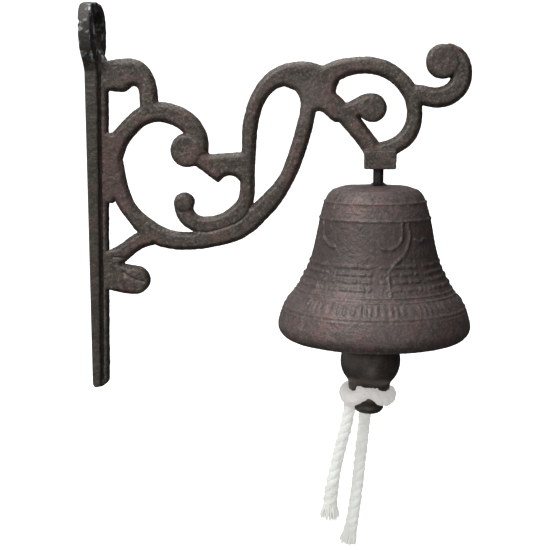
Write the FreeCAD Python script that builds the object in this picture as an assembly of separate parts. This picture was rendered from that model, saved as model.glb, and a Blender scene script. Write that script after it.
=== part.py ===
import FreeCAD, Part
import math
import os

# Cast-iron bell on a scrolled wall bracket, in millimetres.
# The origin is the axis of the screw hole where it meets the wall.
# +X points out of the wall, +Z up, and the scrollwork lies in the XZ plane.

# Spine of the bracket: a flat back with a rail down its middle, both thinner at the foot
EAR_TOP_Z = 12.0
EAR_HALF_WIDTH = 13.2
EAR_THICKNESS = 6.0
SPINE_HALF_WIDTH = 5.0
SPINE_TOP_Z = -9.0
RAIL_TOP_Z = -16.0
SPINE_FOOT_Z = -178.0
BACK_TOP_X = 6.4
BACK_FOOT_X = 4.0
RAIL_TOP_X = 10.3
RAIL_FOOT_X = 7.0

# Countersunk hole for one wall screw
SCREW_HOLE_D = 6.0
COUNTERSINK_D = 16.5
COUNTERSINK_DEPTH = 3.0
CHIP_D = 2.0

# Scrollwork
WEB_THICKNESS = 6.0
BALL_PROUD = 0.9
BALL_ROUNDING = 2.4

# Boss at the end of the arm, with a blind tapped hole for the stem
STEM_X = 142.6
BOSS_START_X = 135.9
BOSS_WIDTH = 15.0
BOSS_DEPTH = 9.0
BOSS_TOP_Z = -58.4
BOSS_FOOT_Z = -67.1
THREAD_DEPTH = 7.0

# Stem, which holds the bell up on a washer and a nut under its crown
STEM_D = 5.0
STEM_FOOT_Z = -92.0
COLLAR_D = 8.6
COLLAR_HEIGHT = 1.2
TONGUE_THICKNESS = 2.0
TONGUE_LENGTH = 6.4
CROSS_HOLE_D = 2.6
CROSS_HOLE_Z = -89.2
WASHER_D = 13.0
WASHER_THICKNESS = 1.0
NUT_ACROSS_FLATS = 8.0
NUT_HEIGHT = 4.0

# Bell, which hangs a little off the stem in its wide cored hole
BELL_X = 141.3
CROWN_TOP_Z = -75.1
CROWN_THICKNESS = 4.0
CROWN_HOLE_D = 8.0
CROWN_PLAY = 0.4
RIDGE_PROUD = 0.25

# Link and clapper, which lean a little towards the wall at rest
CLAPPER_LEAN = 2.2
WIRE_D = 2.0
LINK_HALF_WIDTH = 3.6
LINK_DROP = 9.0
EYE_RADIUS = 3.6
LINK_PLAY = 0.1
SHANK_FOOT_Z = -148.7
BALL_CENTRE_Z = -155.5
BALL_RADIUS = 14.7
NECK_RADIUS = 10.2
GROOVE_RADIUS = 7.4
GROOVE_Z = -178.4
TIP_RADIUS = 7.6
TIP_FOOT_Z = -182.4

# Pull cord, one turn and a hitch round the clapper's neck, with two loose tails
CORD_D = 6.0
WRAP_D = 6.0
ARC_SHARE = 0.45

UP = FreeCAD.Vector(0, 0, 1)
ACROSS = FreeCAD.Vector(0, 1, 0)
OUT = FreeCAD.Vector(1, 0, 0)


def at(x, z, y=0.0):
    return FreeCAD.Vector(x, y, z)


def smooth(points, closed=False):
    """An edge that runs smoothly through a few points."""
    curve = Part.BSplineCurve()
    curve.interpolate(Points=points, PeriodicFlag=closed)
    return curve.toShape()


def line(a, b):
    return Part.LineSegment(a, b).toShape()


def arc(a, b, c):
    return Part.Arc(a, b, c).toShape()


def face(*edges):
    return Part.Face(Part.Wire(Part.__sortEdges__(list(edges))))


def strap(stations):
    """A flat band along a curved middle line, with round ends.

    A station is x, z and the band's half width there.
    """
    middles = [at(x, z) for x, z, _ in stations]
    left, right = [], []
    for i, (_, _, half) in enumerate(stations):
        ahead = middles[min(i + 1, len(middles) - 1)] - middles[max(i - 1, 0)]
        side = ahead.cross(ACROSS).normalize() * half
        left.append(middles[i] + side)
        right.append(middles[i] - side)
    first = (middles[0] - middles[1]).normalize() * stations[0][2]
    last = (middles[-1] - middles[-2]).normalize() * stations[-1][2]
    return face(
        smooth(left),
        arc(left[-1], middles[-1] + last, right[-1]),
        smooth(right),
        arc(right[0], middles[0] + first, left[0]),
    )


def thicken(flat, thickness):
    flat.translate(FreeCAD.Vector(0, -thickness / 2, 0))
    return flat.extrude(ACROSS * thickness)


# Bands of the scrollwork: x, z and half width, from one end to the other
UPPER_SCROLL = [(8, -22.5, 7.1), (13.3, -22.5, 7.4), (19.1, -22.1, 7.6), (24.3, -21.5, 6.3),
                (28.6, -24.9, 4.9), (30.6, -31.4, 4.3), (30.8, -38.2, 4.3)]
GREAT_SCROLL_TOP = [(9, -70.6, 4.2), (12, -63, 4.5), (14.8, -55, 4.6), (20.5, -47.8, 4.2),
                    (27.2, -42.2, 4.4), (34.5, -40, 4.7), (43, -41.5, 4.7), (50.3, -45.7, 4.8),
                    (54.9, -52.3, 4.5), (55.7, -59.5, 4.1)]
GREAT_SCROLL_FOOT = [(12, -63, 4.5), (13.8, -73.5, 4.6), (17.2, -83.1, 4.1), (21.7, -90.1, 3.9),
                     (27.3, -95.9, 4.5), (36.3, -101.3, 4.6), (47.3, -103.1, 4.3),
                     (58.9, -102, 4.3), (68.1, -99.8, 4.5), (77, -95.7, 4.7), (84, -89.5, 4.8),
                     (90.6, -82.8, 4.5), (97.3, -73.8, 3.6), (103, -60.7, 3.7), (106.8, -48.1, 3.7),
                     (108.6, -39.2, 3.6), (108.9, -31.2, 3.6)]
LOWER_CURL = [(47.6, -84.2, 4.7), (48.4, -89.8, 4.3), (52.4, -93.8, 4), (58.8, -95.2, 4.1),
              (66.6, -93.9, 4.3), (73.5, -89.7, 4.3), (78.2, -83.2, 3.7), (79.3, -74.4, 3.4),
              (79.6, -65.6, 3.2), (80.1, -55.8, 3.3), (80.6, -47, 3.5), (82.2, -39.5, 3.5),
              (85.1, -32.7, 3.6), (89.2, -27.3, 4), (95.2, -23.5, 4.7), (102, -22.8, 5.9)]
RING = [(115.5, -24.0, 4.4), (121.8, -20.9, 4.5), (128.1, -19, 4), (135.3, -18.4, 3.8),
        (142.8, -19.5, 3.8), (150.2, -23.3, 3.6), (155.6, -28.9, 3.6), (158.9, -36.8, 3.5),
        (159, -44.2, 3.5), (156.4, -51.1, 3.7), (150.2, -56.1, 3.8), (142.7, -58.6, 3.8)]
RING_CURL = [(122.2, -39.8, 4.6), (127.7, -40, 4.1), (132.9, -38, 4.6), (139.2, -38, 6.1)]
RING_FOOT = [(119.8, -35.6, 4.6), (125.4, -40.6, 4.2), (130.3, -45.8, 4.3), (134.4, -50.8, 4.2),
             (139.0, -57.0, 4.2)]
END_CURL = [(160, -31.9, 4.2), (163.4, -32.7, 4.4), (168, -33.6, 4.4), (173, -33.1, 4.7),
            (178.3, -29.6, 4.7), (180.7, -23.5, 4.7), (179.2, -17.2, 4.9), (174.6, -13.7, 4.7)]
FOOT_STAY = [(6.4, -115.2, 5.1), (12.1, -112.2, 4.6), (18.3, -107.8, 3.9), (23.7, -103.9, 3.9),
             (29.6, -101.5, 4.3)]
FOOT_BULB = [(5.5, -120.5, 6.4), (11.7, -121.5, 6.9), (17.1, -122.6, 7.3), (22.3, -123.1, 6.8)]
BANDS = [UPPER_SCROLL, GREAT_SCROLL_TOP, GREAT_SCROLL_FOOT, LOWER_CURL, RING, RING_CURL,
         RING_FOOT, END_CURL, FOOT_STAY, FOOT_BULB]

# Thick round ends of the scrolls: x, z and radius
ROUND_ENDS = [(49.6, -58.5, 8), (47.7, -84, 4.7), (139.4, -38.3, 6.6), (172, -16.9, 7.8),
              (22.5, -123.1, 6.8)]


def cross_piece():
    """The short bar from the great scroll's ball to the narrow loop, with a pointed drop."""
    tip = at(64.8, -74.2)
    arch_left, arch_top, arch_right = at(66.6, -72.2), at(71.1, -70.6), at(76.1, -78.3)
    ball_foot, ball_top = at(52.4, -64.9), at(53.3, -58.1)
    return face(
        line(ball_top, at(61.1, -60.5)),
        line(at(61.1, -60.5), at(80.2, -59.3)),
        line(at(80.2, -59.3), at(80.2, -78.3)),
        line(at(80.2, -78.3), arch_right),
        arc(arch_right, arch_top, arch_left),
        line(arch_left, tip),
        line(tip, ball_foot),
        line(ball_foot, ball_top),
    )


def arm_shoulder():
    """The broad flat where the narrow loop, the arm and the ring meet."""
    outline = [at(95.4, -19.8), at(102, -16.7), at(109.7, -17), at(118.4, -19.5), at(123.8, -22.2),
               at(121.9, -29.8), at(123.8, -35.8), at(126.1, -41.2), at(123, -44.9),
               at(117.8, -41.8), at(113.3, -39.6), at(107.8, -42.1), at(105.3, -35.8),
               at(102.6, -30.1), at(97.5, -27.9)]
    return face(smooth(outline, closed=True))


def great_scroll_back():
    """The web that fills the space between the spine and the great scroll."""
    outline = [at(5.4, -51), at(13, -50), at(14, -55.4), at(12.4, -66), at(14, -80.2),
               at(11.7, -84.5), at(5.4, -84.4)]
    return face(*[line(a, b) for a, b in zip(outline, outline[1:] + outline[:1])])


def spine():
    """The flat back and its rail, tapering together to a rounded foot."""
    foot_radius = BACK_FOOT_X / 2
    back = face(
        line(at(0, SPINE_TOP_Z), at(BACK_TOP_X, SPINE_TOP_Z)),
        line(at(BACK_TOP_X, SPINE_TOP_Z), at(BACK_FOOT_X, SPINE_FOOT_Z + foot_radius)),
        arc(at(BACK_FOOT_X, SPINE_FOOT_Z + foot_radius), at(foot_radius, SPINE_FOOT_Z),
            at(0, SPINE_FOOT_Z + foot_radius)),
        line(at(0, SPINE_FOOT_Z + foot_radius), at(0, SPINE_TOP_Z)),
    )
    rail_foot_z = SPINE_FOOT_Z + RAIL_FOOT_X / 2
    rail = face(
        line(at(1, SPINE_TOP_Z), at(EAR_THICKNESS, SPINE_TOP_Z)),
        line(at(EAR_THICKNESS, SPINE_TOP_Z), at(RAIL_TOP_X, RAIL_TOP_Z)),
        line(at(RAIL_TOP_X, RAIL_TOP_Z), at(RAIL_FOOT_X, rail_foot_z)),
        arc(at(RAIL_FOOT_X, rail_foot_z), at(RAIL_FOOT_X * 0.8, SPINE_FOOT_Z + 1),
            at(foot_radius, SPINE_FOOT_Z)),
        line(at(foot_radius, SPINE_FOOT_Z), at(1, SPINE_TOP_Z)),
    )
    return thicken(back, 2 * SPINE_HALF_WIDTH).fuse(thicken(rail, WEB_THICKNESS))


def ear():
    """The rounded tab with the screw hole, narrowing into the spine below."""
    half = [(SPINE_HALF_WIDTH, -20.4), (7.6, -16.0), (11.6, -10.6), (EAR_HALF_WIDTH, -3.0),
            (12.7, 5.0), (9.8, 10.2), (4.0, EAR_TOP_Z)]
    right = [at(0, z, y) for y, z in half]
    left = [at(0, z, -y) for y, z in reversed(half)]
    outline = face(smooth(right + left), line(left[-1], right[0]))
    return outline.extrude(OUT * EAR_THICKNESS)


def screw_hole():
    """The through hole and its countersink, both along X."""
    hole = Part.makeCylinder(SCREW_HOLE_D / 2, EAR_THICKNESS + 2, at(-1, 0), OUT)
    start = EAR_THICKNESS - COUNTERSINK_DEPTH
    sink = Part.makeCone(SCREW_HOLE_D / 2, COUNTERSINK_D / 2, COUNTERSINK_DEPTH, at(start, 0), OUT)
    room = Part.makeCylinder(COUNTERSINK_D / 2, 8, at(EAR_THICKNESS, 0), OUT)
    return hole.fuse(sink).fuse(room)


def ear_chip():
    """A small chip out of the ear's back edge."""
    return Part.makeCylinder(CHIP_D / 2, 9, at(0.2, 2.2, -EAR_HALF_WIDTH - 1), at(-0.3, 0, 1))


def round_end(x, z, radius):
    """A scroll's end, thicker than the web, with rounded rims."""
    thickness = WEB_THICKNESS + 2 * BALL_PROUD
    body = Part.makeCylinder(radius, thickness, at(x, z, -thickness / 2), ACROSS)
    rims = [e for e in body.Edges if isinstance(e.Curve, Part.Circle)]
    return body.makeFillet(BALL_ROUNDING, rims)


def boss():
    """The block under the ring, with the stem's blind hole."""
    low = at(BOSS_START_X, BOSS_FOOT_Z, -BOSS_DEPTH / 2)
    return Part.makeBox(BOSS_WIDTH, BOSS_DEPTH, BOSS_TOP_Z - BOSS_FOOT_Z, low)


def wall_bracket():
    flats = [strap(band) for band in BANDS] + [cross_piece(), arm_shoulder(), great_scroll_back()]
    flat = flats[0].multiFuse(flats[1:]).removeSplitter()
    web = Part.Compound([thicken(f.copy(), WEB_THICKNESS) for f in flat.Faces])
    pieces = [spine(), ear(), boss()] + [round_end(*end) for end in ROUND_ENDS]
    solid = web.Solids[0].multiFuse(web.Solids[1:] + pieces)
    behind_wall = Part.makeBox(20, 60, 260, FreeCAD.Vector(-20, -30, -220))
    blind_hole = Part.makeCylinder(STEM_D / 2, THREAD_DEPTH, at(STEM_X, BOSS_FOOT_Z), UP)
    return solid.cut(behind_wall).cut(screw_hole()).cut(ear_chip()).cut(blind_hole)


def cylinder(diameter, top, foot, x=STEM_X):
    return Part.makeCylinder(diameter / 2, top - foot, at(x, foot), UP)


def turned(profile, x=STEM_X):
    """A solid turned about an upright axis, from a closed flat face."""
    return profile.revolve(at(x, 0), UP, 360)


def leant(shape):
    """The shape turned with the clapper, about the stem's cross hole."""
    shape.rotate(at(STEM_X, CROSS_HOLE_Z), ACROSS, CLAPPER_LEAN)
    return shape


def hanger_stem():
    """A rod with a collar over the crown, and a flat tongue with a cross hole at its foot."""
    collar_foot = CROWN_TOP_Z + CROWN_PLAY
    rod = cylinder(STEM_D, BOSS_FOOT_Z + THREAD_DEPTH, STEM_FOOT_Z)
    collar = Part.makeCone(COLLAR_D / 2, STEM_D / 2, COLLAR_HEIGHT, at(STEM_X, collar_foot), UP)
    hole = Part.makeCylinder(CROSS_HOLE_D / 2, STEM_D + 2,
                             at(STEM_X, CROSS_HOLE_Z, -STEM_D / 2 - 1), ACROSS)
    stem = rod.fuse(collar).removeSplitter().cut(hole)
    for y in (TONGUE_THICKNESS / 2, -TONGUE_THICKNESS / 2 - STEM_D):
        low = at(STEM_X - STEM_D, STEM_FOOT_Z - 1, y)
        stem = stem.cut(Part.makeBox(2 * STEM_D, STEM_D, TONGUE_LENGTH + 1, low))
    return stem


def crown_washer():
    top = CROWN_TOP_Z - CROWN_THICKNESS
    foot = top - WASHER_THICKNESS
    return cylinder(WASHER_D, top, foot).cut(cylinder(STEM_D, top, foot))


def crown_nut():
    top = CROWN_TOP_Z - CROWN_THICKNESS - WASHER_THICKNESS
    corner = NUT_ACROSS_FLATS / 2 / math.cos(math.pi / 6)
    turns = [math.radians(60 * i) for i in range(6)]
    corners = [at(STEM_X + corner * math.cos(t), top, corner * math.sin(t)) for t in turns]
    hexagon = face(*[line(a, b) for a, b in zip(corners, corners[1:] + corners[:1])])
    solid = hexagon.extrude(-UP * NUT_HEIGHT)
    return solid.cut(cylinder(STEM_D, top, top - NUT_HEIGHT))


# Bell's section: radius and z, down the outside and up the inside
BELL_SHOULDER = [(16.0, -75.6), (21.7, -78.1), (24.5, -82.5)]
BELL_WAIST = [(24.5, -82.5), (26.4, -89.6), (27.9, -97.1), (29.6, -105.2), (31.8, -112.9),
              (35.2, -119.8), (38.5, -125.4), (42.1, -129.9)]
BELL_LIP = [(42.1, -129.9), (44.7, -134.7), (46.2, -139.4), (46.7, -142.8), (45.6, -145.9),
            (42.5, -148.3), (39.1, -148.9)]
BELL_INSIDE = [(39.1, -148.9), (38.0, -146.1), (37.8, -140.2), (36.4, -130.7), (31.8, -122.8),
               (27.9, -114.9), (25.5, -106.0), (23.7, -96.1), (22.1, -87.2), (19.7, -82.0),
               (15.8, -79.1)]
# Raised rings round the bell: z and half height
BELL_RIDGES = [(-83.3, 0.7), (-91.2, 0.6), (-129.1, 0.7), (-137.6, 0.6)]


def radius_at(profile, z):
    """The radius of the outer profile at a height, between its two nearest points."""
    for (r0, z0), (r1, z1) in zip(profile, profile[1:]):
        if z1 <= z <= z0:
            return r0 + (r1 - r0) * (z0 - z) / (z0 - z1)
    return profile[-1][0]


def bell_shell():
    def on(points):
        return [at(BELL_X + r, z) for r, z in points]

    inside_top = CROWN_TOP_Z - CROWN_THICKNESS
    axis_top, axis_foot = at(BELL_X, CROWN_TOP_Z), at(BELL_X, inside_top)
    shoulder, waist, lip, inside = [on(p) for p in (BELL_SHOULDER, BELL_WAIST, BELL_LIP, BELL_INSIDE)]
    inside[-1] = at(BELL_X + BELL_INSIDE[-1][0], inside_top)
    shell = turned(face(line(axis_top, shoulder[0]), smooth(shoulder), smooth(waist), smooth(lip),
                        smooth(inside), line(inside[-1], axis_foot), line(axis_foot, axis_top)), BELL_X)
    outside = BELL_SHOULDER + BELL_WAIST[1:] + BELL_LIP[1:]
    for z, half in BELL_RIDGES:
        radius = radius_at(outside, z) - 0.3
        ridge = Part.makeTorus(radius, half + RIDGE_PROUD, at(BELL_X, z), UP)
        shell = shell.fuse(ridge)
    return shell.cut(cylinder(CROWN_HOLE_D, CROWN_TOP_Z + 1, inside_top - 1, BELL_X))


def tube(route, diameter):
    """A round bar along straight runs joined by tangent arcs."""
    edges, radii, start = [], [], route[0]
    for before, corner, after in zip(route, route[1:], route[2:]):
        back, ahead = before - corner, after - corner
        reach = ARC_SHARE * min(back.Length, ahead.Length)
        half_turn = (math.pi - back.getAngle(ahead)) / 2
        radius = reach / math.tan(half_turn)
        into = corner + back.normalize() * reach
        out_of = corner + ahead.normalize() * reach
        bisector = (back + ahead).normalize()
        middle = corner + bisector * (radius / math.cos(half_turn) - radius)
        edges += [line(start, into), arc(into, middle, out_of)]
        radii.append(radius)
        start = out_of
    edges.append(line(start, route[-1]))
    path = Part.Wire(edges)
    section = Part.Wire(Part.makeCircle(diameter / 2, route[0], route[1] - route[0]))
    return path.makePipeShell([section], True, False), path.Length, radii


def clapper_link():
    """An oval wire link through the stem's cross hole, in the YZ plane."""
    top = CROSS_HOLE_Z
    foot = top - LINK_DROP
    half = LINK_HALF_WIDTH
    top_mid, foot_mid = top - half, foot + half
    sides = [line(at(STEM_X, top_mid, s * half), at(STEM_X, foot_mid, s * half)) for s in (-1, 1)]
    bends = [arc(at(STEM_X, z, -half), at(STEM_X, tip, 0), at(STEM_X, z, half))
             for z, tip in ((top_mid, top), (foot_mid, foot))]
    path = Part.Wire(Part.__sortEdges__(sides + bends))
    section = Part.Wire(Part.makeCircle(WIRE_D / 2, at(STEM_X, (top_mid + foot_mid) / 2, half), UP))
    return path.makePipeShell([section], True, False)


def eye_top_z():
    """The middle of the eye's wire, where it rests on the link's lower bend."""
    return CROSS_HOLE_Z - LINK_DROP + WIRE_D + LINK_PLAY


def clapper_shank():
    """A wire eye in the XZ plane with a straight shank, whose foot is cast into the clapper."""
    centre_z = eye_top_z() - EYE_RADIUS
    eye = Part.makeTorus(EYE_RADIUS, WIRE_D / 2, at(STEM_X, centre_z), ACROSS)
    shank_top = centre_z - EYE_RADIUS
    return eye.fuse(cylinder(1.5 * WIRE_D, shank_top + 0.3, SHANK_FOOT_Z)).removeSplitter()


def clapper_body():
    """An iron ball that draws in to a neck, a groove for the cord and a small round tip."""
    ball_top = at(STEM_X, BALL_CENTRE_Z + BALL_RADIUS)
    turns = [math.radians(a) for a in (0, 30, 60, 90, 115)]
    side = [(BALL_RADIUS * math.sin(t), BALL_CENTRE_Z + BALL_RADIUS * math.cos(t)) for t in turns]
    side += [(NECK_RADIUS + 0.4, -165.8), (NECK_RADIUS, -168.4), (NECK_RADIUS, -174.6)]
    groove = [(GROOVE_RADIUS + 1.4, -175.6), (GROOVE_RADIUS, -177.6), (TIP_RADIUS, -179.2),
              (5.4, -181.5), (0, TIP_FOOT_Z)]
    outer = smooth([at(STEM_X + r, z) for r, z in side])
    shoulder = line(at(STEM_X + side[-1][0], side[-1][1]), at(STEM_X + groove[0][0], groove[0][1]))
    tip = smooth([at(STEM_X + r, z) for r, z in groove])
    body = turned(face(outer, shoulder, tip, line(at(STEM_X, TIP_FOOT_Z), ball_top)))
    return body.cut(cylinder(1.5 * WIRE_D, ball_top.z + 1, SHANK_FOOT_Z))


# Cord: points of each tail, from the neck to its free end, as offsets from the stem's axis
LEFT_TAIL = [(-12.2, -3.4, -181.0), (-13.0, -4.0, -189.8), (-15.8, -4.6, -200.8),
             (-18.6, -5.2, -213.2), (-21.0, -5.8, -225.6), (-21.8, -6.2, -237.4)]
RIGHT_TAIL = [(-4.2, 9.8, -181.4), (-5.2, 8.8, -192.0), (-6.6, 7.0, -206.2),
              (-8.0, 5.8, -222.0), (-9.6, 4.6, -238.6), (-12.2, 4.0, -254.4)]


def cord_wrap():
    """The turn of cord round the neck, as one plain ring."""
    return Part.makeTorus(GROOVE_RADIUS + WRAP_D / 2 + 0.1, WRAP_D / 2, at(STEM_X, GROOVE_Z), UP)


def cord_tail(name, points):
    route = [at(STEM_X + x, z, y) for x, y, z in points]
    solid, length, radii = tube(route, CORD_D)
    ideal = math.pi * CORD_D ** 2 / 4 * length
    print(name, "length", round(length, 1), "volume share", round(solid.Volume / ideal, 4),
          "radii", [round(r, 1) for r in radii])
    return solid


def main():
    os.makedirs("parts", exist_ok=True)
    nodes = {
        "wall_bracket": wall_bracket(),
        "hanger_stem": hanger_stem(),
        "crown_washer": crown_washer(),
        "crown_nut": crown_nut(),
        "bell_shell": bell_shell(),
        "clapper_link": leant(clapper_link()),
        "clapper_shank": leant(clapper_shank()),
        "clapper_body": leant(clapper_body()),
        "cord_wrap": leant(cord_wrap()),
        "cord_tail_left": cord_tail("cord_tail_left", LEFT_TAIL),
        "cord_tail_right": cord_tail("cord_tail_right", RIGHT_TAIL),
    }
    for name, shape in nodes.items():
        if len(shape.Solids) != 1 or not shape.isValid():
            print("check", name, "solids", len(shape.Solids), "valid", shape.isValid())
        solid = shape.Solids[0]
        solid.exportStep(f"parts/{name}.step")
        box = solid.BoundBox
        print(name, round(solid.Volume / 1000, 2), "cm3",
              [round(v, 1) for v in (box.XMin, box.XMax, box.YMin, box.YMax, box.ZMin, box.ZMax)])


main()
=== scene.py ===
import math

import bmesh
import bpy
import numpy as np
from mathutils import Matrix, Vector, kdtree, noise


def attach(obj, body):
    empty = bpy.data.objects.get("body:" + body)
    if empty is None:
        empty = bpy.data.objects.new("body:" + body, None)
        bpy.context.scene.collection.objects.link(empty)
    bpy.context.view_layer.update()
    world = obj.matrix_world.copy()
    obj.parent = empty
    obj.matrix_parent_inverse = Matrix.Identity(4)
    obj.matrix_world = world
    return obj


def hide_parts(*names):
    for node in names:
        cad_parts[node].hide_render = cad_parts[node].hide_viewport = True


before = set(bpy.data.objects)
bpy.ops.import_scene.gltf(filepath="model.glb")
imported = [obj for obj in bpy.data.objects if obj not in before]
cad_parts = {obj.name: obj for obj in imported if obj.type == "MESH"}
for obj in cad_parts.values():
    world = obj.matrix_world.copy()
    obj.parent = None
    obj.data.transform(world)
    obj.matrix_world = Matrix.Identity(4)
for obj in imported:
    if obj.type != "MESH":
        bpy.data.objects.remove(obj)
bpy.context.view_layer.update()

# A cast bell on a scrolled wall bracket, with an iron clapper and a twisted cotton cord.
# Lengths below are in millimetres in the model's own frame, and MM turns them into metres.
# Only the camera's and the lights' places are given in metres, and their angles in degrees.
MM = 0.001
STEM_X = 142.6
BELL_X = 141.3


# ---------- camera ----------

# The camera stands in front of the arm, turned a little to the wall's side and looking down
CAMERA_PLACE = (0.1521, -0.4839, -0.0483)
CAMERA_TURN = 7.0
CAMERA_DOWN = 8.3
LENS = 65.45
SENSOR = 36.0


def make_camera():
    data = bpy.data.cameras.new("camera")
    data.sensor_width = SENSOR
    data.lens = LENS
    data.clip_start = 0.01
    data.clip_end = 50.0
    camera = bpy.data.objects.new("camera", data)
    camera.location = CAMERA_PLACE
    camera.rotation_euler = (math.radians(90.0 - CAMERA_DOWN), 0.0, math.radians(CAMERA_TURN))
    bpy.context.scene.collection.objects.link(camera)
    bpy.context.scene.camera = camera


make_camera()


# ---------- meshes ----------

def new_piece(name, vertices, faces, material):
    """A smooth-shaded mesh object from millimetre vertices."""
    mesh = bpy.data.meshes.new(name)
    mesh.from_pydata((np.asarray(vertices) * MM).tolist(), [], [list(f) for f in faces])
    mesh.validate()
    mesh.shade_smooth()
    mesh.materials.append(material)
    piece = bpy.data.objects.new(name, mesh)
    bpy.context.scene.collection.objects.link(piece)
    return piece


def smooth_curve(points, per_span):
    """Points of a Catmull-Rom curve through the given ones."""
    p = np.asarray(points, float)
    p = np.vstack([2 * p[0] - p[1], p, 2 * p[-1] - p[-2]])
    out = []
    for a, b, c, d in zip(p, p[1:], p[2:], p[3:]):
        t = np.linspace(0, 1, per_span, endpoint=False)[:, None]
        out.append(0.5 * (2 * b + (c - a) * t + (2 * a - 5 * b + 4 * c - d) * t ** 2
                          + (3 * b - a - 3 * c + d) * t ** 3))
    return np.vstack(out + [p[-2:-1]])


def distances(points):
    """How far along the line each point is."""
    steps = np.linalg.norm(np.diff(points, axis=0), axis=1)
    return np.concatenate([[0], np.cumsum(steps)])


def even(points, step):
    """The same line with points an even step apart, and how far along each one is."""
    along = distances(points)
    wanted = np.linspace(0, along[-1], max(2, int(along[-1] / step)))
    return np.stack([np.interp(wanted, along, column) for column in points.T], 1), wanted


def ring_faces(rings, sides, closed_rings=False):
    """Quads between rings of the same number of points."""
    last = rings if closed_rings else rings - 1
    i, j = np.meshgrid(np.arange(last), np.arange(sides), indexing="ij")
    k, n = (i + 1) % rings, (j + 1) % sides
    return np.stack([i * sides + j, k * sides + j, k * sides + n, i * sides + n], -1).reshape(-1, 4)


def turned_points(profile, sides):
    """Rings of a turned shape about the upright axis: profile is radius and z."""
    turn = np.linspace(0, 2 * math.pi, sides, endpoint=False)
    r, z = profile[:, 0][:, None], profile[:, 1][:, None]
    return np.stack([r * np.sin(turn), -r * np.cos(turn), z + 0 * turn], -1)


def roughness_noise(points, scale, seed):
    """Seeded noise from -1 to 1 at points in millimetres; scale is the size of its lumps."""
    shift = Vector((seed * 17.3, seed * 5.1, seed * 9.7))
    return np.array([noise.noise(Vector(p) / scale + shift) for p in points])


# ---------- node helpers ----------

def shader_node(tree, kind, inputs=None, **settings):
    """A new node; each input is a constant or the socket that feeds it."""
    made = tree.nodes.new(kind)
    for name, value in settings.items():
        setattr(made, name, value)
    for name, value in (inputs or {}).items():
        if isinstance(value, bpy.types.NodeSocket):
            tree.links.new(value, made.inputs[name])
        else:
            made.inputs[name].default_value = value
    return made


def lumps(tree, place, size, detail=3.0, shift=0.0):
    """Noise from 0 to 1 with lumps of a size in millimetres."""
    moved = shader_node(tree, "ShaderNodeVectorMath", {0: place, 1: (shift, shift * 0.7, -shift)})
    made = shader_node(tree, "ShaderNodeTexNoise",
                       {"Vector": moved.outputs[0], "Scale": 1 / (size * MM), "Detail": detail})
    return made.outputs[0]


def ramp(tree, value, low, high):
    """0 where the value is under low and 1 where it is over high."""
    made = shader_node(tree, "ShaderNodeMapRange",
                       {"Value": value, "From Min": low, "From Max": high}, interpolation_type="SMOOTHSTEP")
    return made.outputs["Result"]


def times(tree, a, b):
    return shader_node(tree, "ShaderNodeMath", {0: a, 1: b}, operation="MULTIPLY").outputs[0]


def blend_colour(tree, share, a, b):
    """Colour a where share is 0 and b where it is 1."""
    made = shader_node(tree, "ShaderNodeMix", data_type="RGBA")
    for socket, value in zip((made.inputs[0], made.inputs[6], made.inputs[7]), (share, a, b)):
        if isinstance(value, bpy.types.NodeSocket):
            tree.links.new(value, socket)
        else:
            socket.default_value = (*value, 1.0) if isinstance(value, tuple) else value
    return made.outputs[2]


def raised(tree, height, depth, below=None):
    """Bump of a depth in millimetres, on top of another bump."""
    inputs = {"Height": height, "Strength": 1.0, "Distance": depth * MM}
    if below is not None:
        inputs["Normal"] = below
    return shader_node(tree, "ShaderNodeBump", inputs).outputs["Normal"]


def new_material(name):
    material = bpy.data.materials.new(name)
    material.use_nodes = True
    tree = material.node_tree
    tree.nodes.clear()
    surface = shader_node(tree, "ShaderNodeBsdfPrincipled")
    output = shader_node(tree, "ShaderNodeOutputMaterial")
    tree.links.new(surface.outputs[0], output.inputs[0])
    return material, tree, surface


def feed(tree, surface, **inputs):
    """Sets the surface's inputs, named with _ for each space."""
    for name, value in inputs.items():
        socket = surface.inputs[name.replace("_", " ")]
        if isinstance(value, bpy.types.NodeSocket):
            tree.links.new(value, socket)
        else:
            socket.default_value = (*value, 1.0) if isinstance(value, tuple) else value


# ---------- materials ----------

def cast_iron(name, dark, body, warm, worn, wear_at, grain, metallic, roughness):
    """Old cast metal: mottled colour, warm patches, painted shade in its hollows, worn edges and a sandy
    skin.
    """
    material, tree, surface = new_material(name)
    place = shader_node(tree, "ShaderNodeTexCoord").outputs["Object"]
    edge = shader_node(tree, "ShaderNodeNewGeometry").outputs["Pointiness"]
    shade = shader_node(tree, "ShaderNodeAmbientOcclusion", {"Distance": 5 * MM}, samples=6).outputs["AO"]
    fine, middling, broad = [lumps(tree, place, size, 5.0) for size in (0.9, 3.5, 14.0)]
    colour = blend_colour(tree, ramp(tree, middling, 0.35, 0.68), dark, body)
    patch = times(tree, ramp(tree, broad, 0.48, 0.66), ramp(tree, middling, 0.3, 0.6))
    colour = blend_colour(tree, patch, colour, warm)
    speck = times(tree, ramp(tree, fine, 0.53, 0.72), 0.5)
    colour = blend_colour(tree, speck, colour, worn)
    pit = times(tree, ramp(tree, fine, 0.48, 0.32), 0.5)
    colour = blend_colour(tree, pit, colour, tuple(0.55 * c for c in dark))
    # Painted shade: the colour darkens where the ambient occlusion finds hollows and corners.
    painted_hollow_shade = times(tree, ramp(tree, shade, 0.85, 0.35), 0.8)
    colour = blend_colour(tree, painted_hollow_shade, colour, tuple(0.3 * c for c in dark))
    rub = times(tree, ramp(tree, edge, *wear_at), ramp(tree, lumps(tree, place, 6.0, 4.0, 0.3), 0.35, 0.6))
    colour = blend_colour(tree, times(tree, rub, 0.8), colour, worn)
    skin = raised(tree, lumps(tree, place, 2.2, 4.0, 0.1), grain)
    skin = raised(tree, fine, 0.7 * grain, skin)
    rough = shader_node(tree, "ShaderNodeMapRange",
                        {"Value": middling, "To Min": roughness - 0.1, "To Max": roughness + 0.12})
    feed(tree, surface, Base_Color=colour, Metallic=metallic, Normal=skin,
         Roughness=rough.outputs["Result"])
    return material


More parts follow.
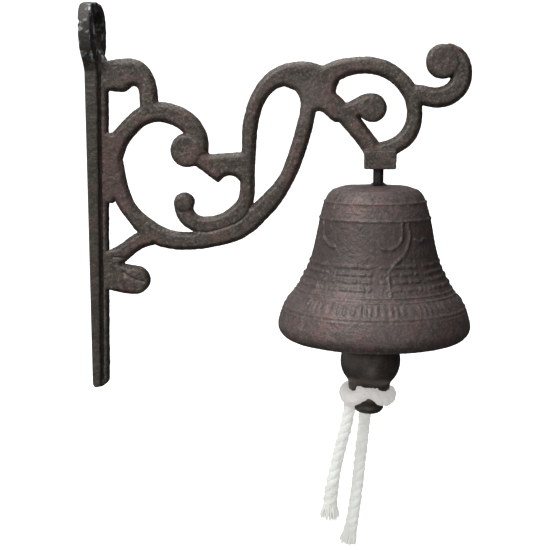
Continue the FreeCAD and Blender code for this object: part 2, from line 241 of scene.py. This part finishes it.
def zone(tree, place, axis, low, high, fade=4.0):
    """1 between two places along an axis, in millimetres, fading to 0 inside both ends."""
    along = shader_node(tree, "ShaderNodeSeparateXYZ", {0: place}).outputs[axis]
    return times(tree, ramp(tree, along, low * MM, (low + fade) * MM),
                 ramp(tree, along, high * MM, (high - fade) * MM))


def tinted(material, share, tint, **limits):
    """The material's colour draws towards a tint inside limits given for each axis."""
    tree = material.node_tree
    surface = next(n for n in tree.nodes if n.type == "BSDF_PRINCIPLED")
    place = shader_node(tree, "ShaderNodeTexCoord").outputs["Object"]
    inside = share
    for axis, limit in limits.items():
        inside = times(tree, zone(tree, place, axis, *limit), inside)
    colour = surface.inputs["Base Color"].links[0].from_socket
    feed(tree, surface, Base_Color=blend_colour(tree, inside, colour, tint))


def chipped_glinting_ear(material):
    """The ear's black paint, with bright flecks on its rim for chipped metal and painted highlights."""
    tinted(material, 0.55, (0.016, 0.016, 0.015), Z=(-17.0, 40.0), X=(-8.0, 16.0))
    tree = material.node_tree
    place = shader_node(tree, "ShaderNodeTexCoord").outputs["Object"]
    edge = shader_node(tree, "ShaderNodeNewGeometry").outputs["Pointiness"]
    # Bright flecks on the rim: chipped metal, and painted highlights where the rim catches the light.
    chip_and_highlight_flecks = ramp(tree, lumps(tree, place, 4.0, 5.0, 0.7), 0.51, 0.58)
    rim = times(tree, ramp(tree, edge, 0.49, 0.53), zone(tree, place, "Z", -17.0, 40.0))
    tinted(material, times(tree, chip_and_highlight_flecks, rim), (0.42, 0.43, 0.43), X=(-8.0, 16.0))


def cotton():
    """Undyed cotton: fine fibres, painted shade in the hollows between the strands, darker and pinker round
    the knot, and a painted glow of its own colour.
    """
    material, tree, surface = new_material("cord_cotton")
    place = shader_node(tree, "ShaderNodeTexCoord").outputs["Object"]
    shade = shader_node(tree, "ShaderNodeAmbientOcclusion", {"Distance": 2.5 * MM}, samples=8).outputs["AO"]
    fibre = lumps(tree, place, 0.35, 4.0)
    soiled = lumps(tree, place, 9.0, 3.0, 0.2)
    colour = blend_colour(tree, ramp(tree, soiled, 0.35, 0.7), (0.66, 0.67, 0.64), (0.60, 0.60, 0.56))
    colour = blend_colour(tree, times(tree, ramp(tree, fibre, 0.5, 0.75), 0.3), colour, (0.74, 0.75, 0.72))
    # Painted shade: greyer where the ambient occlusion finds the hollows between the strands.
    colour = blend_colour(tree, times(tree, ramp(tree, shade, 0.75, 0.15), 0.7), colour, (0.40, 0.37, 0.33))
    # The cord is drawn darker and pinker round the knot at the clapper's neck.
    knot_tint_share = times(tree, zone(tree, place, "Z", -186.0, -165.0), 0.5)
    colour = blend_colour(tree, knot_tint_share, colour, (0.56, 0.51, 0.50))
    # Painted light: the cord glows with its own colour, and its base colour is darkened by a share to leave
    # room for the glow.
    base_under_glow = blend_colour(tree, 0.44, colour, (0.0, 0.0, 0.0))
    feed(tree, surface, Base_Color=base_under_glow, Roughness=0.9, Normal=raised(tree, fibre, 0.12),
         Sheen_Weight=0.15, Emission_Color=colour, Emission_Strength=0.69)
    return material


BRACKET_IRON = cast_iron("bracket_iron", (0.044, 0.036, 0.026), (0.083, 0.062, 0.051),
                         (0.108, 0.060, 0.053), (0.230, 0.208, 0.180), (0.515, 0.575), 0.30, 0.25, 0.48)
BELL_METAL = cast_iron("bell_metal", (0.078, 0.061, 0.055), (0.118, 0.088, 0.081),
                       (0.132, 0.080, 0.073), (0.215, 0.180, 0.172), (0.51, 0.57), 0.28, 0.30, 0.48)
CLAPPER_IRON = cast_iron("clapper_iron", (0.068, 0.056, 0.045), (0.092, 0.078, 0.065),
                         (0.118, 0.090, 0.070), (0.150, 0.135, 0.120), (0.53, 0.62), 0.05, 0.45, 0.40)
HANGER_STEEL = cast_iron("hanger_steel", (0.010, 0.010, 0.011), (0.022, 0.022, 0.024),
                         (0.034, 0.026, 0.022), (0.090, 0.088, 0.085), (0.54, 0.64), 0.05, 0.6, 0.38)
tinted(BRACKET_IRON, 0.5, (0.022, 0.021, 0.014), X=(-8.0, 7.0, 1.0))
tinted(BRACKET_IRON, 0.35, (0.105, 0.052, 0.050), X=(6.0, 20.0, 3.0), Z=(-100.0, -35.0, 12.0))
tinted(BRACKET_IRON, 0.4, (0.135, 0.110, 0.100), X=(84.0, 122.0, 10.0), Z=(-50.0, -22.0, 8.0))
chipped_glinting_ear(BRACKET_IRON)
# Painted shade: the bell's waist is drawn darker than its shoulder and lip, which face up into the light.
tinted(BELL_METAL, 0.5, (0.040, 0.032, 0.027), Z=(-122.0, -87.0, 6.0))
COTTON = cotton()


# ---------- cord ----------

CORD_D = 6.0
NECK_X = STEM_X - 3.4
STRANDS = 3
PLY_PITCH = 14.5
STRAND_OFFSET = 0.96
STRAND_RADIUS = 2.08
YARNS = 7
YARN_DEPTH = 0.05
YARN_PITCH = 8.0
FLUFF = 0.38
LINE_STEP = 0.3
FRAY_YARNS = 130
FRAY_POINTS_BACK = 30

# Free tails, from the neck to the loose end, as offsets from the stem's axis
LEFT_TAIL = [(-12.2, -3.8, -181.4), (-13.0, -4.2, -189.8), (-15.8, -4.6, -200.8),
             (-18.6, -5.2, -213.2), (-21.0, -5.8, -225.6), (-21.8, -6.2, -237.4)]
RIGHT_TAIL = [(-4.2, 9.8, -182.0), (-5.2, 8.8, -192.0), (-6.6, 7.0, -206.2),
              (-8.0, 5.8, -222.0), (-9.6, 4.6, -238.6), (-12.2, 4.0, -254.4)]

# Turns round the clapper's neck: degrees from the front (positive to the right), radius and z.
# The left cord starts over the front crossing; the right cord starts behind it.
LEFT_TURN = [(-24, 12.4, -172.9), (-8, 12.7, -173.7), (13, 12.4, -175.0), (38, 11.8, -178.2),
             (64, 11.2, -178.4), (92, 10.8, -177.4), (120, 10.7, -177.2), (150, 10.6, -177.5),
             (180, 10.6, -178.0), (210, 10.6, -178.6), (238, 10.6, -179.2), (264, 10.2, -179.8)]
RIGHT_TURN = [(28, 9.6, -174.6), (10, 10.8, -174.6), (-11, 11.6, -175.6), (-36, 12.0, -178.5),
              (-64, 11.7, -178.0), (-92, 11.2, -176.2), (-120, 11.0, -175.9), (-148, 10.9, -176.6),
              (-170, 10.4, -178.4)]


def round_neck(turn):
    """Points in the model's frame from points given round the neck."""
    return [(NECK_X + r * math.sin(math.radians(d)), -r * math.cos(math.radians(d)), z)
            for d, r, z in turn]


def on_stem(points):
    return [(STEM_X + x, y, z) for x, y, z in points]


def spline_points(name, route):
    """The points of one NURBS spline through the route, read back in millimetres."""
    curve = bpy.data.curves.new(name + "_line", "CURVE")
    curve.dimensions = "3D"
    curve.resolution_u = 24
    spline = curve.splines.new("NURBS")
    spline.points.add(len(route) - 1)
    for point, place in zip(spline.points, route):
        point.co = (*(c * MM for c in place), 1.0)
    spline.order_u = 3
    spline.use_endpoint_u = True
    holder = bpy.data.objects.new(name + "_line", curve)
    bpy.context.scene.collection.objects.link(holder)
    line_mesh = bpy.data.meshes.new_from_object(holder)
    points = np.array([v.co for v in line_mesh.vertices]) / MM
    bpy.data.objects.remove(holder)
    return points


def carried_frames(points):
    """Two directions across the line at each point, carried along without twist."""
    ahead = np.gradient(points, axis=0)
    ahead /= np.linalg.norm(ahead, axis=1)[:, None]
    side = np.cross(ahead[0], (0.3, 0.2, 1.0))
    sides = []
    for t in ahead:
        side = side - t * side.dot(t)
        side = side / np.linalg.norm(side)
        sides.append(side)
    sides = np.array(sides)
    return sides, np.cross(ahead, sides)


def tube_mesh(centres, radii, sides, lobes=0, lobe_depth=0.0, lobe_pitch=1.0):
    """Rings round a line, closed at both ends, with small twisted lobes for the yarns."""
    across, up = carried_frames(centres)
    turn = np.linspace(0, 2 * math.pi, sides, endpoint=False)
    lay = 2 * math.pi * distances(centres)[:, None] / lobe_pitch
    swell = 1 + lobe_depth * np.cos(lobes * (turn[None, :] - lay))
    r = (np.asarray(radii)[:, None] * swell)[..., None]
    rings = centres[:, None, :] + r * (np.cos(turn)[None, :, None] * across[:, None, :]
                                       + np.sin(turn)[None, :, None] * up[:, None, :])
    vertices = rings.reshape(-1, 3)
    faces = [list(f) for f in ring_faces(len(centres), sides)]
    faces.append(list(range(sides))[::-1])
    faces.append(list(range((len(centres) - 1) * sides, len(centres) * sides)))
    return vertices, faces


def joined(parts):
    """One vertex list and face list from several."""
    vertices, faces, start = [], [], 0
    for v, f in parts:
        vertices.append(v)
        faces += [[i + start for i in face] for face in f]
        start += len(v)
    return np.vstack(vertices), faces


def twisted(line, swell):
    """Strands laid round a line; swell is each point's thickness against the plain cord."""
    across, up = carried_frames(line)
    along = distances(line)
    parts = []
    for k in range(STRANDS):
        turn = 2 * math.pi * (along / PLY_PITCH + k / STRANDS)
        out = np.cos(turn)[:, None] * across + np.sin(turn)[:, None] * up
        centres = line + (STRAND_OFFSET * swell)[:, None] * out
        parts.append(tube_mesh(centres, STRAND_RADIUS * swell, 36, YARNS, YARN_DEPTH, YARN_PITCH))
    return joined(parts)


def frayed_end(line, flare, seed):
    """Loose yarns that open out by flare, in millimetres, over the cord's last stretch."""
    pick = np.random.default_rng(seed)
    root = line[-FRAY_POINTS_BACK]
    ahead = (line[-1] - root) / np.linalg.norm(line[-1] - root)
    across, up = (v[-1] for v in carried_frames(line))
    parts = []
    for _ in range(FRAY_YARNS):
        turn, r = pick.uniform(0, 2 * math.pi), math.sqrt(pick.uniform(0.15, 1))
        out = math.cos(turn) * across + math.sin(turn) * up
        t = np.linspace(0, 1, 16)[:, None]
        start = root + out * r * 0.42 * CORD_D
        reach = LINE_STEP * FRAY_POINTS_BACK + pick.uniform(1.6, 3.8)
        curl = pick.normal(0, 0.45, 3) * np.sin(3.0 * t + 6 * r) * t
        path = start + ahead * reach * t + out * flare * r * t ** 1.6 + curl
        radii = pick.uniform(0.30, 0.46) * np.clip(1.3 - t[:, 0] ** 4, 0.4, 1)
        parts.append(tube_mesh(path, radii, 7))
    return joined(parts)


def make_cord(name, route, thickness, flare, seed, nodes):
    """A cord of twisted strands, with its frayed end as a piece on it.

    thickness is pairs of a distance along the cord and its share of the full thickness there.
    """
    line, along = even(spline_points(name, route), LINE_STEP)
    places, shares = zip(*thickness)
    vertices, faces = twisted(line, np.interp(along, places, shares))
    fluff = np.stack([roughness_noise(vertices, 1.3, seed + k) for k in range(3)], 1)
    vertices = vertices + FLUFF * fluff
    strands = new_piece(name, vertices, faces, COTTON)
    tuft = new_piece(name + "_fray", *frayed_end(line, flare, seed), COTTON)
    for piece in (strands, tuft):
        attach(piece, "clapper")
    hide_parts(*nodes)


def make_cords():
    left_thickness = [(0, 0.55), (5, 0.75), (9, 0.9), (14, 1.2), (24, 1.1), (50, 1.0), (92, 0.97),
                      (106, 1.16), (112, 1.2)]
    right_thickness = [(0, 0.6), (5, 0.85), (9, 1.0), (14, 1.25), (24, 1.05), (50, 1.04), (92, 1.0),
                       (106, 1.08), (112, 1.12)]
    make_cord("cord_left", round_neck(LEFT_TURN) + on_stem(LEFT_TAIL), left_thickness,
              2.5, 3, ["cord_wrap", "cord_tail_left"])
    make_cord("cord_right", round_neck(RIGHT_TURN) + on_stem(RIGHT_TAIL), right_thickness,
              1.6, 8, ["cord_tail_right"])


make_cords()


# ---------- bracket ----------

VOXEL = 0.42
WEB_HALF = 3.0
GROWTH = 0.22

# The web's draft: how far in from the outline it reaches, and half the thickness left at the edge.
# The rail, at the wall's side of RAIL_X, keeps a sharper edge.
BEVEL = 2.1
EDGE_HALF = 0.6
RAIL_BEVEL = 1.1
RAIL_EDGE_HALF = 2.2
RAIL_X = 13.0
SPINE_X = 4.5
BALL_HALF = 3.9
BALL_ROUNDING = 2.4
BOSS_LOW = (135.4, -67.6)
BOSS_HIGH = (151.4, -58.2)

# Thick round ends of the scrolls: x, z and radius
ROUND_ENDS = [(49.6, -58.5, 8), (47.7, -84, 4.7), (139.4, -38.3, 6.6), (172, -16.9, 7.8),
              (22.5, -123.1, 6.8)]

# Chased creases on both faces: depth, half width and their x, z points
CREASES = [
    (0.75, 0.55, [(49.0, -96.4), (52.0, -97.5), (59.0, -98.4), (67.1, -96.3), (73.8, -93.7),
                  (78.3, -90.2), (80.8, -85.6), (82.3, -80.2), (81.9, -72.7)]),
    (0.6, 0.5, [(17.0, -118.8), (22.1, -121.9), (27.3, -123.3)]),
    (0.6, 0.5, [(21.5, -15.3), (23.2, -17.1), (26.3, -22.2), (28.7, -26.6)]),
    (0.5, 0.6, [(11.8, -111.4), (17.9, -111.8)]),
    (0.9, 0.55, [(7.2, -21.0), (6.6, -70.0), (5.9, -120.0), (4.9, -174.0)]),
]


def remeshed(node, voxel):
    """An even fine mesh of a CAD node, in millimetres: its vertices and faces."""
    copy = bpy.data.objects.new("copy", node.data.copy())
    bpy.context.scene.collection.objects.link(copy)
    modifier = copy.modifiers.new("even", "REMESH")
    modifier.mode = "VOXEL"
    modifier.voxel_size = voxel * MM
    evaluated = copy.evaluated_get(bpy.context.evaluated_depsgraph_get())
    mesh = bpy.data.meshes.new_from_object(evaluated)
    vertices = np.empty(len(mesh.vertices) * 3)
    mesh.vertices.foreach_get("co", vertices)
    faces = np.empty(len(mesh.polygons) * 4, int)
    mesh.polygons.foreach_get("vertices", faces)
    bpy.data.objects.remove(copy)
    return vertices.reshape(-1, 3) / MM, faces.reshape(-1, 4)


def middle_outline(node):
    """A search tree of close points on the outline of the node's section at y = 0."""
    cut = bmesh.new()
    cut.from_mesh(node.data)
    cut.verts.ensure_lookup_table()
    everything = cut.verts[:] + cut.edges[:] + cut.faces[:]
    made = bmesh.ops.bisect_plane(cut, geom=everything, plane_co=(0, 0, 0), plane_no=(0, 1, 0))
    edges = [e for e in made["geom_cut"] if isinstance(e, bmesh.types.BMEdge)]
    samples = []
    for edge in edges:
        a, b = (v.co / MM for v in edge.verts)
        count = max(1, int((b - a).length / 0.3))
        samples += [a.lerp(b, (i + 0.5) / count) for i in range(count)]
    cut.free()
    kept = [p for p in samples if outline_counts(p.x, p.z)]
    tree = kdtree.KDTree(len(kept))
    for i, p in enumerate(kept):
        tree.insert((p.x, 0, p.z), i)
    tree.balance()
    return tree


def in_boss(x, z):
    return (x > BOSS_LOW[0]) & (x < BOSS_HIGH[0]) & (z > BOSS_LOW[1]) & (z < BOSS_HIGH[1])


def outline_counts(x, z):
    """False on the wall's side, in the screw hole and in the boss with its blind hole."""
    return x > SPINE_X and z < -9.5 and not in_boss(x, z)


def ball_half(x, z):
    """Half the thickness of a round end at x, z, or 0 outside them all."""
    half = np.zeros(len(x))
    for cx, cz, radius in ROUND_ENDS:
        r = np.hypot(x - cx, z - cz)
        into_rim = np.clip(r - (radius - BALL_ROUNDING), 0, BALL_ROUNDING)
        dome = BALL_HALF - BALL_ROUNDING + np.sqrt(BALL_ROUNDING ** 2 - into_rim ** 2)
        half = np.where(r < radius + 0.3, np.maximum(half, dome), half)
    return half


def bevelled(points, outline):
    """The flat web's faces and walls drawn in towards their outline, as the casting's draft."""
    x, y, z = points.T
    d = np.array([outline.find((a, 0, b))[2] for a, b in zip(x, z)])
    at_rail = np.clip((RAIL_X - x) / 3.0, 0, 1)
    bevel = BEVEL + (RAIL_BEVEL - BEVEL) * at_rail
    edge = EDGE_HALF + (RAIL_EDGE_HALF - EDGE_HALF) * at_rail
    rise = 1 - (1 - np.minimum(d / bevel, 1)) ** 1.3
    half = edge + (WEB_HALF - edge) * rise
    ball = ball_half(x, z)
    on_ball = (ball > 0) & ((np.abs(np.abs(y) - ball) < 0.45) | (np.abs(y) > WEB_HALF + 0.1))
    beside = (np.abs(y) > WEB_HALF + 0.3) | (x < SPINE_X) | (z > -12)
    kept = on_ball | in_boss(x, z) | beside
    out = points.copy()
    out[:, 1] = np.where(kept, y, y * half / WEB_HALF)
    return out


def mesh_sums(faces, count):
    """For even quads: each vertex's neighbours along the edges, as two index lists and a count."""
    a = faces.reshape(-1)
    b = np.roll(faces, -1, axis=1).reshape(-1)
    return a, b, np.bincount(a, minlength=count).astype(float)


def relaxed(points, faces, rounds):
    """The points moved halfway to the mean of their neighbours, a few times over."""
    a, b, share = mesh_sums(faces, len(points))
    for _ in range(rounds):
        mean = np.stack([np.bincount(a, points[b, k], len(points)) for k in range(3)], 1)
        points = 0.5 * points + 0.5 * mean / np.maximum(share, 1)[:, None]
    return points


def outward(points, faces):
    """Unit normals at the vertices."""
    p = points[faces]
    normal = np.cross(p[:, 2] - p[:, 0], p[:, 3] - p[:, 1])
    total = np.zeros_like(points)
    for k in range(3):
        for corner in range(4):
            total[:, k] += np.bincount(faces[:, corner], normal[:, k], len(points))
    return total / np.maximum(np.linalg.norm(total, axis=1), 1e-9)[:, None]


def nearest(points, line):
    """Distance of 2-D points from a line of close points."""
    return np.min(np.hypot(points[:, 0][:, None] - line[:, 0], points[:, 1][:, None] - line[:, 1]), axis=1)


def crease_depth(points):
    """How deep the chased creases cut at each point of the web's two faces."""
    depth = np.zeros(len(points))
    flat = points[:, [0, 2]]
    for deep, half, route in CREASES:
        line = even(smooth_curve(route, 12), 0.3)[0]
        low, high = line.min(0) - 3 * half, line.max(0) + 3 * half
        near = np.flatnonzero(np.all((flat > low) & (flat < high), axis=1) & (np.abs(points[:, 1]) > 1.8)
                              & (np.abs(points[:, 1]) < 4.3))
        d = nearest(flat[near], line)
        depth[near] = np.maximum(depth[near], deep * np.exp(-(d / half) ** 2))
    return depth


def make_bracket():
    """The bracket's casting: drafted edges, chased creases and a sandy skin on the CAD shape."""
    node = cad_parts["wall_bracket"]
    points, faces = remeshed(node, VOXEL)
    points = bevelled(points, middle_outline(node))
    points = relaxed(points, faces, 2)
    points[:, 1] -= np.sign(points[:, 1]) * crease_depth(points)
    sand = GROWTH + 0.15 * roughness_noise(points, 1.7, 1) + 0.20 * roughness_noise(points, 6.0, 2)
    off_wall = np.clip(points[:, 0] / 1.5, 0, 1)
    points = points + outward(points, faces) * (sand * off_wall)[:, None]
    bracket = new_piece("bracket_casting", points, faces.tolist(), BRACKET_IRON)
    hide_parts("wall_bracket")
    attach(bracket, "bracket")


make_bracket()


# ---------- bell ----------

# The bell's section, as radius and z: over the crown, down the outside and up the inside
SHOULDER = [(4.05, -75.1), (10.0, -75.1), (16.0, -75.5), (21.7, -78.1), (24.5, -82.5)]
OUTSIDE = [(24.5, -82.5), (26.4, -89.6), (27.9, -97.1), (29.6, -105.2), (31.8, -112.9),
           (35.2, -119.8), (38.5, -125.4), (42.1, -129.9), (44.7, -134.7), (46.2, -139.4),
           (46.7, -142.8), (45.7, -145.8), (43.0, -148.2), (39.1, -148.9)]
INSIDE = [(39.1, -148.9), (38.0, -146.1), (37.8, -140.2), (36.4, -130.7), (31.8, -122.8),
          (27.9, -114.9), (25.5, -106.0), (23.7, -96.1), (22.1, -87.2), (19.7, -82.0),
          (15.8, -79.1), (10.0, -79.1), (4.05, -79.1)]

# Raised rings round the bell: z, height and half width
BELL_RINGS = [(-77.2, 0.25, 0.5), (-82.4, 0.35, 0.6), (-90.3, 0.5, 0.6), (-124.0, 0.4, 0.35),
              (-126.0, 0.35, 0.3), (-132.8, 0.36, 0.6), (-134.6, 0.14, 0.5)]

# Raised scrolls on half of the waist, which repeat on the other half: degrees from the front and z
WAIST_SCROLLS = [
    [(29, -91.5), (27, -98.5), (19, -102.5), (9, -102.6), (5, -99.5)],
    [(36, -91.5), (36, -98.5), (28, -105.5), (20, -109), (14, -113), (13, -118), (13.5, -123)],
    [(-62, -91.5), (-56, -98.5), (-46, -102), (-38, -102.5)],
    [(-70, -91.5), (-68, -98), (-64, -103)],
    [(42, -98.8), (48, -100.3), (54, -98.8), (59, -99.6)],
]


def dashes(turn, z, row, half):
    """A broken raised line round the bell: bars with shallow dips, and a clear gap every 40 degrees."""
    bar = np.clip(3 * np.cos(turn * 27 + row) + 3.3, 0.4, 1)
    gap = np.clip(5.6 - 6 * np.cos((turn - 0.05) * 9), 0, 1)
    return bar * gap * np.exp(-((z - row) / half) ** 4)


def bell_relief(turn, z, radius):
    """Height of the raised ornament in millimetres; turn is in radians from the front."""
    height = np.zeros_like(z)
    for level, tall, half in BELL_RINGS:
        height = np.maximum(height, tall * np.exp(-((z - level) / half) ** 2))
    on_waist = (z < -90.8) & (z > -124)
    place = np.stack([np.degrees(turn[on_waist]), z[on_waist]], 1)
    place[:, 0] = (place[:, 0] + 90) % 180 - 90
    scale = math.radians(1) * radius[on_waist]
    scrolls = np.zeros(len(place))
    for route in WAIST_SCROLLS:
        line = smooth_curve(route, 10)
        for shift in (-180, 0, 180):
            dx = (place[:, 0][:, None] - line[:, 0] - shift) * scale[:, None]
            d = np.min(np.hypot(dx, place[:, 1][:, None] - line[:, 1]), axis=1)
            scrolls = np.maximum(scrolls, 0.6 * np.exp(-(d / 0.8) ** 2))
    height[on_waist] = np.maximum(height[on_waist], scrolls)
    for row in (-110.8, -114.0, -117.2, -120.6):
        height = np.maximum(height, 0.45 * dashes(turn, z, row, 0.8))
    wander = 1.8 * np.sin(turn * 7) + 1.2 * np.sin(turn * 19 + 1)
    ribs = (0.5 + 0.5 * np.cos(turn * 84 + wander)) * np.exp(-(np.abs(z + 129.2) / 2.2) ** 4)
    return np.maximum(height, (0.30 + 0.10 * np.sin(turn * 3 + 2)) * ribs)


def make_bell():
    """The bell as a turned skin, raised along its normals by the ornament and the wear."""
    sides = 960
    step = 0.33
    outside = even(np.vstack([smooth_curve(SHOULDER, 24)[:-1], smooth_curve(OUTSIDE, 24)]), step)[0]
    inside = even(smooth_curve(INSIDE, 12)[1:], 1.2)[0]
    profile = np.vstack([outside, inside])
    rings = turned_points(profile, sides)
    turn = np.broadcast_to(np.linspace(0, 2 * math.pi, sides, endpoint=False), rings.shape[:2])
    radius = np.broadcast_to(profile[:, 0][:, None], turn.shape)
    shown = len(outside)
    height = np.zeros(turn.shape)
    height[:shown] = bell_relief(turn[:shown].reshape(-1), rings[:shown, :, 2].reshape(-1),
                                 radius[:shown].reshape(-1)).reshape(shown, sides)
    points = rings.reshape(-1, 3)
    faces = ring_faces(len(profile), sides, closed_rings=True)
    normal = outward(points, faces)
    wear = 0.14 * roughness_noise(points, 9.0, 4) + 0.09 * roughness_noise(points, 1.6, 5)
    lift = height.reshape(-1) * (0.85 + 0.7 * roughness_noise(points, 3.0, 6)) + wear
    points = points + normal * lift[:, None] + (BELL_X, 0, 0)
    bell = new_piece("bell_casting", points, faces.tolist(), BELL_METAL)
    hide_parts("bell_shell")
    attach(bell, "bell")


make_bell()


# ---------- clapper ----------

# The clapper turns about the stem's cross hole, and leans to the wall's side at rest
CLAPPER_LEAN = 2.2
CROSS_HOLE_Z = -89.2
BALL_CENTRE_Z = -155.5
BALL_RADIUS = 14.7
BALL_FOOT = [(10.6, -165.8), (10.2, -168.4), (10.2, -172.8), (9.8, -174.6), (8.8, -175.6),
             (7.4, -177.6), (7.6, -179.2), (5.4, -181.5), (0.3, -182.4)]


def make_clapper():
    """The iron ball with its neck, leaning with the clapper's wire."""
    turns = np.radians([4, 12, 24, 38, 52, 66, 80, 94, 106, 118])
    side = [(BALL_RADIUS * math.sin(t), BALL_CENTRE_Z + BALL_RADIUS * math.cos(t)) for t in turns]
    top = [(0.3, BALL_CENTRE_Z + BALL_RADIUS), *side]
    line = smooth_curve(top + BALL_FOOT, 10)
    sides = 240
    profile = even(line, 0.5)[0]
    points = turned_points(profile, sides).reshape(-1, 3)
    faces = ring_faces(len(profile), sides)
    points = points + outward(points, faces) * (0.12 * roughness_noise(points, 8.0, 7))[:, None]
    lean = math.radians(CLAPPER_LEAN)
    x, z = points[:, 0], points[:, 2] - CROSS_HOLE_Z
    points[:, 0] = STEM_X + x * math.cos(lean) + z * math.sin(lean)
    points[:, 2] = CROSS_HOLE_Z - x * math.sin(lean) + z * math.cos(lean)
    clapper = new_piece("clapper_casting", points, faces.tolist(), CLAPPER_IRON)
    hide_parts("clapper_body")
    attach(clapper, "clapper")


make_clapper()

# ---------- hanger ----------

for name in ("hanger_stem", "crown_washer", "crown_nut", "clapper_link", "clapper_shank"):
    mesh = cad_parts[name].data
    mesh.materials.clear()
    mesh.materials.append(HANGER_STEEL)


# ---------- studio ----------

BACKDROP_PALE = (0.9, 0.9, 0.9)


def make_backdrop():
    """A pale floor that sweeps up into a wall, which the camera sees and the object's light skips."""
    material, tree, surface = new_material("backdrop")
    feed(tree, surface, Base_Color=BACKDROP_PALE, Roughness=1.0, Emission_Color=BACKDROP_PALE,
         Emission_Strength=0.9)
    profile = [(-2500.0, -700.0), (900.0, -700.0)]
    turns = np.linspace(0.1, math.pi / 2, 12)
    profile += [(900 + 900 * math.sin(t), 200 - 900 * math.cos(t)) for t in turns]
    profile.append((1800.0, 3000.0))
    points = [(x, y, z) for y, z in profile for x in (-4000.0, 4000.0)]
    faces = [(2 * i, 2 * i + 1, 2 * i + 3, 2 * i + 2) for i in range(len(profile) - 1)]
    sweep = new_piece("backdrop", points, faces, material)
    sweep.visible_diffuse = False
    sweep.visible_glossy = False
    sweep.visible_shadow = False


# Towards the bright side of the studio that the metal mirrors
LIGHT_SIDE = (-0.50, -0.30, 0.81)


def make_world():
    """White for the camera; for the metal, a studio that is bright on one side and dim below."""
    world = bpy.data.worlds.new("studio")
    world.use_nodes = True
    tree = world.node_tree
    tree.nodes.clear()
    place = shader_node(tree, "ShaderNodeTexCoord").outputs["Generated"]
    toward = shader_node(tree, "ShaderNodeVectorMath", {0: place, 1: LIGHT_SIDE}, operation="DOT_PRODUCT")
    sky = blend_colour(tree, ramp(tree, toward.outputs["Value"], -0.3, 1.0), (0.03, 0.03, 0.03),
                       (0.95, 0.96, 0.98))
    light = shader_node(tree, "ShaderNodeBackground", {"Color": sky, "Strength": 1.0})
    white = shader_node(tree, "ShaderNodeBackground", {"Color": (1.0, 1.0, 1.0, 1.0), "Strength": 1.0})
    camera = shader_node(tree, "ShaderNodeLightPath").outputs["Is Camera Ray"]
    mixed = shader_node(tree, "ShaderNodeMixShader", {0: camera, 1: light.outputs[0], 2: white.outputs[0]})
    output = shader_node(tree, "ShaderNodeOutputWorld")
    tree.links.new(mixed.outputs[0], output.inputs[0])
    bpy.context.scene.world = world


def area_light(name, place, target, size, power):
    """A square soft light; place and target are in metres."""
    data = bpy.data.lights.new(name, "AREA")
    data.shape = "SQUARE"
    data.size = size
    data.energy = power
    lamp = bpy.data.objects.new(name, data)
    lamp.location = place
    lamp.rotation_euler = (Vector(target) - Vector(place)).to_track_quat("-Z", "Y").to_euler()
    bpy.context.scene.collection.objects.link(lamp)


def make_lights():
    """A key from the upper left, with weaker lights at the right, above and below."""
    middle = (0.10, 0.0, -0.10)
    area_light("key", (-0.42, -0.66, 0.72), middle, 0.32, 8.5)
    area_light("fill", (0.60, -0.90, 0.25), middle, 0.7, 0.9)
    area_light("top", (-0.05, 0.30, 0.90), middle, 0.4, 4.0)
    area_light("low", (0.20, -0.72, -0.62), middle, 0.5, 1.0)


make_backdrop()
make_world()
make_lights()
bpy.context.scene.view_settings.view_transform = "Standard"
